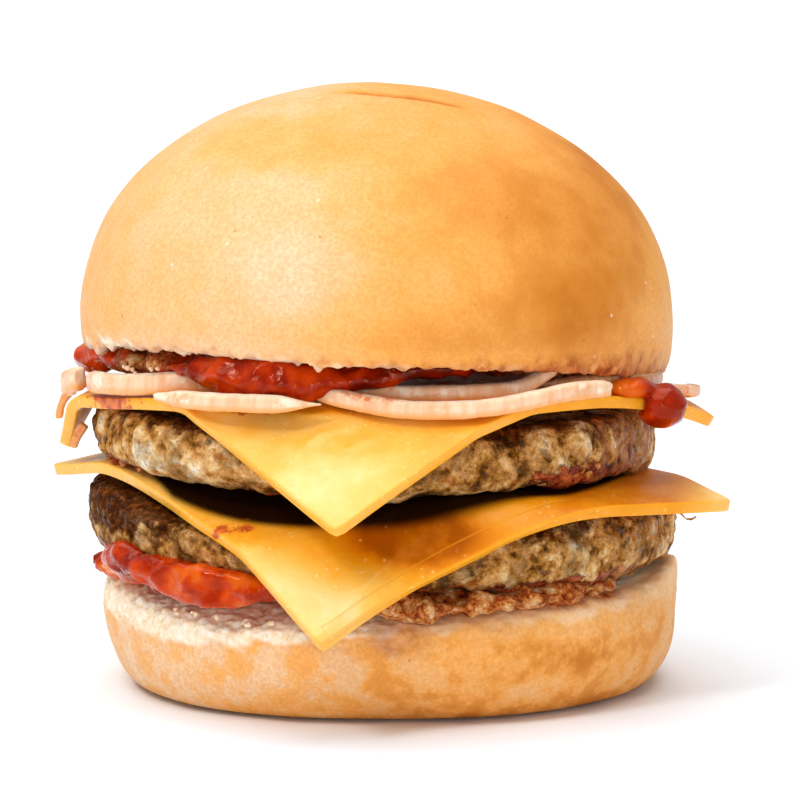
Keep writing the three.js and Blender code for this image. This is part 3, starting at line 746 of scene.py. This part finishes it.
# How each slice lies: its middle and height, its turn from a corner towards the front, how it slopes,
# and its folds. It lies flat up to each fold line, follows an arc round it, and then runs straight. A
# fold is given by the bearing it lies at, its distance from the middle, its radius, and its turn.
SLICES = {
    "cheese_lower": {
        "x": -1.2, "y": -14.5, "twist": -10.9, "height": 39.4, "slope_x": -0.026, "slope_y": -0.008,
        "folds": [(282, 33, 9, 26), (252, 18.4, 27.4, 23.2), (170, 47, 20, 12), (-49, 32, 26.4, 11.6)],
    },
    "cheese_upper": {
        "x": -3.8, "y": -11.7, "twist": -5.7, "height": 54.6, "slope_x": 0.0, "slope_y": -0.006,
        "folds": [(256, 34.6, 8.6, 19.3), (265.6, 30.1, 6.8, 21.3), (172.8, 50, 3.4, 62), (180, 30, 25, 6),
                  (-7, 39.5, 42, 30)],
    },
}
# Two curved marks that fingertips have left near the upper slice's front corner, before it is laid:
# the middle and the radius of each.
FINGER_MARKS = (((-33, -33, 0), 7.5), ((-29, -36, 0), 4.2))
# The lower slice is scored at this y, between these two x. Elsewhere the distance from it is put at 9.
SCORE_Y, SCORE_START, SCORE_END, UNSCORED = -40.4, -42, 16, 9.0
# Painted orange shade from left to right under the upper patty, and how far out the patty's deep
# painted shade reaches there.
UNDER_PATTY_SHADE_TONE = [(-44, 0.1), (-30, 0.3), (-12, 0.36), (2, 0.5), (40, 0.38)]
SHADE_UNDER_PATTY = [(-46, 45), (-38, 50.2), (-26, 51.4), (30, 51.4), (44, 47)]
# Spots of painted shade, and of painted sheen where the strength is negative.
LOWER_SLICE_SHADE_AND_SHEEN = [(0.34, (4, -54, 36), (17, 8, 9)), (-0.04, (-16, -66, 26), (18, 14, 13))]
LOWER_SAUCE = [
    (0.8, (3.5, -55, 36), (4, 3, 4)), (0.75, (13, -55, 37), (3, 3, 4)), (0.6, (-27, -48, 35), (6, 4, 5)),
]


def fold_slice(p, lie):
    """Lays points of a flat slice over the stack."""
    for toward, start, bend, turn in lie["folds"]:
        dx, dy = unit(toward)
        past = np.maximum(p[:, 0] * dx + p[:, 1] * dy - start, 0)
        turned = np.minimum(past / bend, math.radians(turn))
        straight = past - bend * turned
        moved = past > 0
        shift = (bend + p[:, 2]) * np.sin(turned) + straight * np.cos(turned) - past
        height = (bend + p[:, 2]) * np.cos(turned) - bend - straight * np.sin(turned)
        p[:, 2] = np.where(moved, height, p[:, 2])
        p[:, 0] += dx * shift * moved
        p[:, 1] += dy * shift * moved
    p[:, 0] += lie["x"]
    p[:, 1] += lie["y"]
    p[:, 2] += lie["height"] + lie["slope_x"] * p[:, 0] + lie["slope_y"] * p[:, 1]
    return p


class BURGER_OT_cheese(bpy.types.Operator):
    """The two cheese slices, cut square and draped over the patties"""

    bl_idname = "burger.cheese"
    bl_label = "Cheese slices"

    def execute(self, context):
        sizes = context.scene.burger_cheese
        half = sizes.side / MM / 2
        for node, lie in SLICES.items():
            deselect_all()
            bpy.ops.mesh.primitive_grid_add(x_subdivisions=150, y_subdivisions=150, size=sizes.side)
            cheese = context.object
            cheese.name = cheese.data.name = node.replace("cheese", "slice")
            apply_modifier(cheese, "SOLIDIFY", thickness=sizes.thickness, offset=0.0)
            apply_modifier(cheese, "BEVEL", width=0.3 * MM, segments=3, limit_method="ANGLE")
            flat = points_of(cheese, (0, 0, 0))[0]
            edge = np.maximum(np.abs(flat[:, 0]), np.abs(flat[:, 1]))
            # The cut edges are not quite straight, and the corners are slightly rounded.
            corner = np.minimum(np.abs(flat[:, 0]), np.abs(flat[:, 1]))
            pull = 0.35 * ramp(half - 2, half, corner)
            wander = 0.25 * bumps(flat, 13, 41) * ramp(half - 6, half, edge)
            flat[:, :2] *= (1 + (wander - pull) / np.maximum(edge, 1))[:, None]
            c, s = unit(45 + lie["twist"])
            laid = flat.copy()
            laid[:, 0], laid[:, 1] = c * flat[:, 0] - s * flat[:, 1], s * flat[:, 0] + c * flat[:, 1]
            laid[:, 2] += 0.25 * bumps(flat * (1, 1, 0), 15, 42) * ramp(34, 46, polar(laid)[1])
            if node == "cheese_upper":
                for centre, radius in FINGER_MARKS:
                    bearing, away = polar(flat - centre)
                    laid[:, 2] += 0.3 * np.exp(-((away - radius) / 0.8) ** 2) * around(bearing, 90, 75)
            p = fold_slice(laid, lie)
            put_points(cheese, p)
            x, z = p[:, 0], p[:, 2]
            if node == "cheese_lower":
                # Painted shade deepens it under the patty above, most of all right of the middle, and over
                # its right part; a painted sheen pales its front corner.
                r = polar(p, UPPER_PATTY_X)[1]
                greasy = 0.12 + ramp(63, 55, r) * across(x, UNDER_PATTY_SHADE_TONE) + spots(p, LOWER_SLICE_SHADE_AND_SHEEN)
                greasy = np.maximum(greasy, 0.66 * ramp(18, 30, x) * ramp(60, 48, x))
                dark_to = across(x, SHADE_UNDER_PATTY)
                hidden = ramp(dark_to + 1.4, dark_to - 0.9, r)
                sauce = spots(p, LOWER_SAUCE)
                scored = (flat[:, 0] > SCORE_START) & (flat[:, 0] < SCORE_END) & (flat[:, 2] > 0)
                from_score = np.where(scored, flat[:, 1] - SCORE_Y, UNSCORED)
            else:
                # Painted shade turns it orange in a band under the onions and towards the right, and a
                # painted sheen pales its front corner.
                greasy = 0.26 + 0.16 * ramp(52.4, 54.4, z) * ramp(8, 30, np.abs(x + 10))
                greasy += 0.16 * ramp(-6, 14, x) - 0.16 * near(p, (-12, -62, 46), (15, 10, 9))
                greasy = np.maximum(greasy, 0.55 * ramp(53.4, 54.6, z))
                hidden = 0.0
                sauce = 0.95 * around(polar(p)[0], 207, 17) * ramp(51, 53.5, z)
                sauce += 0.8 * near(p, (-20, -44, 54), (16, 3, 2))
                from_score = UNSCORED
            paint(
                cheese, rim=ramp(half - 1.0, half - 0.1, edge), greasy=np.clip(greasy, 0, 0.8),
                hidden=hidden, sauce=sauce, from_score=from_score)
            dress(cheese, "cheddar", node)
        return {"FINISHED"}


# ---- onion ----


# Each strip is part of a ring: its centre and radius, the bearings where it starts and ends, its
# height, and how much its start and its end thin out.
STRIPS = {
    "onion_front_left": (-16.2, -20, 31, 218, 278, 3.2, 0.55, 0.85),
    "onion_front": (10, -16.4, 36, 222, 318, 3.2, 0.85, 0.0),
    "onion_right": (22, -9, 25, 276, 385, 2.8, 0.7, 0.0),
    "onion_left_end": (-53.8, 48.4, 6.7, 98, 184, 3.2, 0.0, 0.35),
    "onion_left_top": (-46, -6, 12.5, 184, 220, 4.6, 0.0, 0.0),
    "onion_left_under": (-49.1, 42.4, 8.2, 138, 172, 3.2, 0.0, 0.3),
    "onion_left": (-32.4, -14, 21, 191, 296, 4.0, 0.0, 0.85),
    "onion_front_right": (7, -17, 29, 236, 316, 2.8, 0.8, 0.2),
    "onion_right_end": (43.6, -12.6, 10, 296, 356, 2.6, 0.2, 0.0),
    "onion_back_left": (-20, 18, 25, 78, 178, 3.2, 0.5, 0.3),
    "onion_back_right": (16, 18, 26, 10, 120, 3.2, 0.0, 0.6),
    "onion_back": (-2, 17, 29, 46, 146, 3.0, 0.4, 0.0),
}
# These two hang down. Their rings stand upright, and their centres are given in x and z.
UPRIGHT = ("onion_left_end", "onion_left_under")
# How see-through some strips are, and how much sauce has soaked into some, and where it lies on them.
GLASSY = {"onion_right": 0.8, "onion_left_end": 0.35, "onion_left_under": 0.5}
SOILED = {"onion_left_top": 0.3, "onion_left_under": 0.4, "onion_left_end": 0.3, "onion_right_end": 0.45}
ONION_SAUCE = [
    (0.5, (-52, -20, 55), (10, 8, 3)), (0.45, (-22, -34, 60), (9, 9, 5)), (0.5, (-2, -52, 58), (12, 9, 2.4)),
]


class BURGER_OT_onions(bpy.types.Operator):
    """The strips of sliced onion"""

    bl_idname = "burger.onions"
    bl_label = "Onion strips"

    def execute(self, context):
        taper = context.scene.burger_filling.taper / MM
        for seed, (node, strip_size) in enumerate(STRIPS.items()):
            cx, cy, radius, start, end, tall, thin_start, thin_end = strip_size
            strip = copy_of(node, node.replace("onion", "strip"))
            subdivide_smoothly(strip, 3)
            p, n = points_of(strip)
            # The ring lies in u and v, and w is across it.
            u, v, w = (0, 2, 1) if node in UPRIGHT else (0, 1, 2)
            angle, distance = polar(p[:, (u, v)] - (cx, cy))
            angle = np.where(angle < start - 20, angle + 360, angle)
            run, left = np.radians(angle - start) * radius, np.radians(end - angle) * radius
            out = np.zeros((len(p), 3))
            out[:, u], out[:, v] = unit(angle)
            outward = distance - radius
            # The height of the strip's middle line, found by averaging each stretch of it.
            key = np.round(run / 0.8).astype(int)
            key -= key.min()
            middle = (np.bincount(key, p[:, w]) / np.maximum(np.bincount(key), 1))[key]
            rise = p[:, w] - middle
            # Cutting leaves flat sides and crisp edges.
            half_wide, half_tall = (1.1 if node in UPRIGHT else 1.6), tall / 2
            wide_share, tall_share = np.abs(outward / half_wide), np.abs(rise / half_tall)
            oval = np.hypot(wide_share, tall_share)
            square = (wide_share ** 6 + tall_share ** 6) ** (1 / 6)
            crisp = np.clip(oval / np.maximum(square, 1e-6), 1, 1.22)
            keep = crisp * (1 - thin_start * ramp(taper, 0, run)) * (1 - thin_end * ramp(taper, 0, left))
            p += out * (outward * (keep - 1))[:, None]
            p[:, w] = middle + rise * keep
            p += n * (0.16 * bumps(p, 5, seed) + 0.07 * bumps(p, 1.6, seed + 0.5))[:, None]
            put_points(strip, p)
            up = rise / half_tall
            paint(
                strip, run=run + 40 * seed, rise=rise,
                # The edges get painted highlights, and the underside painted shade.
                edge=ramp(0.5, 0.95, up) + 0.6 * ramp(0.7, 0.95, -up),
                underside=ramp(0.1, -0.7, up),
                glassy=GLASSY.get(node, 0.0) * (1 - 0.6 * ramp(0.5, 0.9, up)),
                sauce=SOILED.get(node, 0.1) + spots(p, ONION_SAUCE))
            dress(strip, "onion", node)
        return {"FINISHED"}


# ---- ketchup ----


# For each body of ketchup, its piece and solid, the size of its voxels in mm, how many rounds it is
# smoothed, the height of its lumps against the usual one, and the seed of its noise.
KETCHUP = (
    ("sauce_lower", "ketchup_lower", 0.55, 6, 1.35, 51),
    ("sauce_upper", "ketchup_upper", 0.55, 6, 1.0, 52),
    ("sauce_drop", "ketchup_drop", 0.3, 45, 0.4, 53),
)
# The lower one, by bearing: the height of its upper face, and how far its foot is drawn up to that.
RIBBON_TOP = [(200, 28), (220, 26.6), (246, 25)]
RIBBON_SLIM = [(196, 0), (206, 0.2), (218, 0.38), (232, 0.06), (246, 0.5), (262, 0.5), (274, 0)]


class BURGER_OT_ketchup(bpy.types.Operator):
    """The ketchup squeezed out above the heel and under the crown"""

    bl_idname = "burger.ketchup"
    bl_label = "Ketchup"

    def execute(self, context):
        lumps = context.scene.burger_filling.lumps / MM
        for name, node, voxel, rounds, height, seed in KETCHUP:
            sauce = copy_of(node, name)
            apply_modifier(sauce, "REMESH", mode="VOXEL", voxel_size=voxel * MM)
            apply_modifier(sauce, "SMOOTH", factor=0.6, iterations=rounds)
            p, n = points_of(sauce)
            angle, r = polar(p, KETCHUP_X)
            seen = ramp(41, 46, r)
            soaked = 0.0
            if node == "ketchup_lower":
                thin = 0.22 + 0.5 * around(angle, 203, 13)
                thin += 0.16 * ramp(218, 236, angle) * ramp(262, 250, angle)
                soaked = 0.5 * ramp(262, 270, angle) * ramp(352, 330, angle)
                # At the front left it is a ribbon along the foot of the patty, and sags in one place.
                below = np.maximum(across(angle, RIBBON_TOP) - p[:, 2], 0)
                p[:, 2] += across(angle, RIBBON_SLIM) * below * seen
            elif node == "ketchup_upper":
                # It is painted darker at the right front, as painted shade under the crown.
                thin = 0.24 + 0.3 * around(angle, 184, 16) - 0.2 * around(angle, 290, 40)
                soaked = 0.5 * around(angle, 213, 18) + 0.4 * around(angle, 312, 30)
                # It stands back in the shade of the crown, except where it has run down at the front left.
                back = 3.4 * ramp(250, 262, angle) * ramp(344, 330, angle) + 2.2 * around(angle, 210, 20)
                p[:, :2] *= (1 - back * seen / np.maximum(polar(p)[1], 1))[:, None]
            else:
                thin = 0.3 + 0.16 * ramp(45, 39, p[:, 0])
            ridges = 1 - 2.6 * np.abs(bumps(p * (0.8, 0.8, 1.7), 5.5, seed)) + 0.4 * bumps(p, 2.4, seed + 1)
            crags = 2 * np.abs(bumps(p, 7, seed + 2)) - 0.6 + 0.6 * bumps(p, 2.2, seed + 3)
            crags = 2.4 * soaked * (crags + 0.25 * bumps(p, 0.9, seed + 4))
            p += n * (0.3 + (lumps * height * ridges + crags) * seen)[:, None]
            put_points(sauce, p)
            paint(sauce, soaked=soaked, thin=thin)
            dress(sauce, "ketchup", node)
        return {"FINISHED"}


# ---- crumbs ----


# Where loose bits cling: how many, from and to which bearing, distance from the middle, lowest and
# highest height, and size against the width of a crumb.
BITS = {
    "crumbs": [(9, 208, 230, 51.6, 59.2, 60.6, 0.6), (9, 226, 250, 50.2, 17.6, 19.0, 0.8)],
    "sauce_bits": [
        (16, 200, 222, 50.6, 42.4, 44.6, 1.1), (14, 306, 324, 50.4, 42.0, 44.0, 1.0),
        (8, 276, 300, 50.0, 20.6, 22.0, 1.2),
    ],
}


class BURGER_OT_crumbs(bpy.types.Operator):
    """Loose crumbs of bread, bits of saucy mince, and a thin dark shred"""

    bl_idname = "burger.crumbs"
    bl_label = "Crumbs"

    def execute(self, context):
        width = context.scene.burger_filling.crumb / MM
        rng = np.random.default_rng(7)
        for name, places in BITS.items():
            bits = []
            for count, start, end, radius, low, high, size in places:
                for _ in range(count):
                    c, s = unit(rng.uniform(start, end))
                    r = radius + rng.uniform(-0.6, 0.6)
                    place = in_frame(r * c + CRUMBS_X, r * s, rng.uniform(low, high))
                    deselect_all()
                    bpy.ops.mesh.primitive_ico_sphere_add(
                        subdivisions=3, radius=0.5 * width * size * rng.uniform(0.55, 1.3) * MM,
                        location=place, scale=rng.uniform(0.8, 1.2, 3), rotation=rng.uniform(0, 3, 3))
                    bits.append(context.object)
            for bit in bits:
                bit.select_set(True)
            bpy.ops.object.join()
            bpy.ops.object.transform_apply(location=True, rotation=True, scale=True)
            piece = context.object
            piece.name = piece.data.name = name
            p, n = points_of(piece)
            p += n * (0.34 * bumps(p, 0.9, 61) + 0.16 * bumps(p, 0.45, 62))[:, None]
            put_points(piece, p)
            bread = name == "crumbs"
            soaked = 0.3 * ramp(30, 50, p[:, 2]) if bread else 0.45 + 0.3 * bumps(p, 6, 63)
            paint(piece, browned=0.4, crumb=0.7, soaked=soaked, thin=0.35)
            dress(piece, "bun_crust" if bread else "ketchup")

        # The shred stands out at the right, under the lower slice, and droops from where it starts.
        deselect_all()
        bpy.ops.mesh.primitive_cylinder_add(
            vertices=10, radius=0.22 * MM, depth=5.4 * MM, rotation=(0, math.radians(90), 0),
            location=in_frame(52.0, -9, 31.4))
        shred = context.object
        shred.name = shred.data.name = "shred"
        bpy.ops.object.transform_apply(location=True, rotation=True, scale=True)
        divide_where(shred, lambda c: c[:, 0] > 0, 5)
        p, n = points_of(shred)
        along = p[:, 0] - 50.4
        p[:, 2] += 0.5 * np.sin(along * 1.7) - 0.28 * along
        p += n * (0.08 * bumps(p, 0.8, 64))[:, None]
        put_points(shred, p)
        paint(shred, soaked=0.4, thin=0.1)
        dress(shred, "ketchup")
        return {"FINISHED"}


# ---- materials and stage ----


class BURGER_OT_finishes(bpy.types.Operator):
    """The finishes of bread, beef, cheese, onion, ketchup and the paper"""

    bl_idname = "burger.finishes"
    bl_label = "Finishes"

    def execute(self, context):
        for finish in (baked_crust, grilled_beef, processed_cheddar, raw_onion, tomato_ketchup, studio_paper):
            finish()
        return {"FINISHED"}


def add_light(kind, name, place, target, **settings):
    """A light at a place in metres, turned towards a target."""
    light = bpy.data.lights.new(name, kind)
    for key, value in settings.items():
        setattr(light, key, value)
    obj = bpy.data.objects.new(name, light)
    bpy.context.scene.collection.objects.link(obj)
    obj.location = Vector(place)
    obj.rotation_euler = (Vector(target) - Vector(place)).to_track_quat("-Z", "Y").to_euler()


class BURGER_OT_stage(bpy.types.Operator):
    """The floor, the lights and the camera"""

    bl_idname = "burger.stage"
    bl_label = "Stage"

    def execute(self, context):
        sizes = context.scene.burger_stage
        deselect_all()
        bpy.ops.mesh.primitive_plane_add(size=2 * sizes.floor, location=(0, 0, 0))
        floor = context.object
        floor.name = "studio_floor"
        floor.data.materials.append(bpy.data.materials["white_studio_paper"])

        world = bpy.data.worlds.new("studio")
        context.scene.world = world
        world.use_nodes = True
        sky = world.node_tree.nodes["Background"]
        sky.inputs["Color"].default_value = (1.0, 1.0, 1.0, 1.0)
        sky.inputs["Strength"].default_value = 0.44

        middle = (0, 0, 0.055)
        add_light("SUN", "overhead", (-0.1, 0.06, 1.0), middle, energy=2.5, angle=math.radians(70))
        add_light(
            "AREA", "key", (-0.36, -0.44, 0.6), middle, energy=1.7, shape="RECTANGLE", size=0.14, size_y=0.14)
        add_light(
            "AREA", "fill", (0.1, -0.9, 0.12), middle, energy=1.5, shape="RECTANGLE", size=0.34, size_y=0.26)

        camera = bpy.data.cameras.new("camera")
        camera.lens = sizes.lens
        camera.sensor_width = 36
        camera.clip_end = 100
        obj = bpy.data.objects.new("camera", camera)
        obj.location = in_frame(1.27, -650, 130)
        # It looks 6.95 degrees down.
        obj.rotation_euler = (math.radians(90 - 6.95), 0, 0)
        context.scene.collection.objects.link(obj)
        context.scene.camera = obj
        context.scene.view_settings.view_transform = "Standard"
        return {"FINISHED"}


# ---- add-on ----


class BURGER_PT_panel(bpy.types.Panel):
    """Builds the burger's layers one by one"""

    bl_idname = "BURGER_PT_panel"
    bl_label = "Double cheeseburger"
    bl_space_type = "VIEW_3D"
    bl_region_type = "UI"
    bl_category = "Burger"

    def draw(self, context):
        for group in PROPERTY_GROUPS:
            box = self.layout.box()
            sizes = getattr(context.scene, group)
            for key in sizes.__annotations__:
                box.prop(sizes, key)
        for operator in OPERATORS:
            self.layout.operator(operator.bl_idname)


PROPERTY_GROUPS = {
    "burger_bun": BunSizes,
    "burger_beef": BeefSizes,
    "burger_cheese": CheeseSizes,
    "burger_filling": FillingSizes,
    "burger_stage": StageSizes,
}
OPERATORS = (
    BURGER_OT_finishes, BURGER_OT_heel, BURGER_OT_ketchup, BURGER_OT_patties, BURGER_OT_cheese,
    BURGER_OT_onions, BURGER_OT_crown, BURGER_OT_crumbs, BURGER_OT_stage,
)


def register():
    for name, group in PROPERTY_GROUPS.items():
        bpy.utils.register_class(group)
        setattr(bpy.types.Scene, name, bpy.props.PointerProperty(type=group))
    for cls in (*OPERATORS, BURGER_PT_panel):
        bpy.utils.register_class(cls)


def unregister():
    for cls in (*OPERATORS, BURGER_PT_panel):
        bpy.utils.unregister_class(cls)
    for name, group in PROPERTY_GROUPS.items():
        delattr(bpy.types.Scene, name)
        bpy.utils.unregister_class(group)


def main():
    register()
    bpy.ops.burger.finishes()
    bpy.ops.burger.heel()
    bpy.ops.burger.ketchup()
    bpy.ops.burger.patties()
    bpy.ops.burger.cheese()
    bpy.ops.burger.onions()
    bpy.ops.burger.crown()
    bpy.ops.burger.crumbs()
    bpy.ops.burger.stage()


if __name__ == "__main__":
    main()
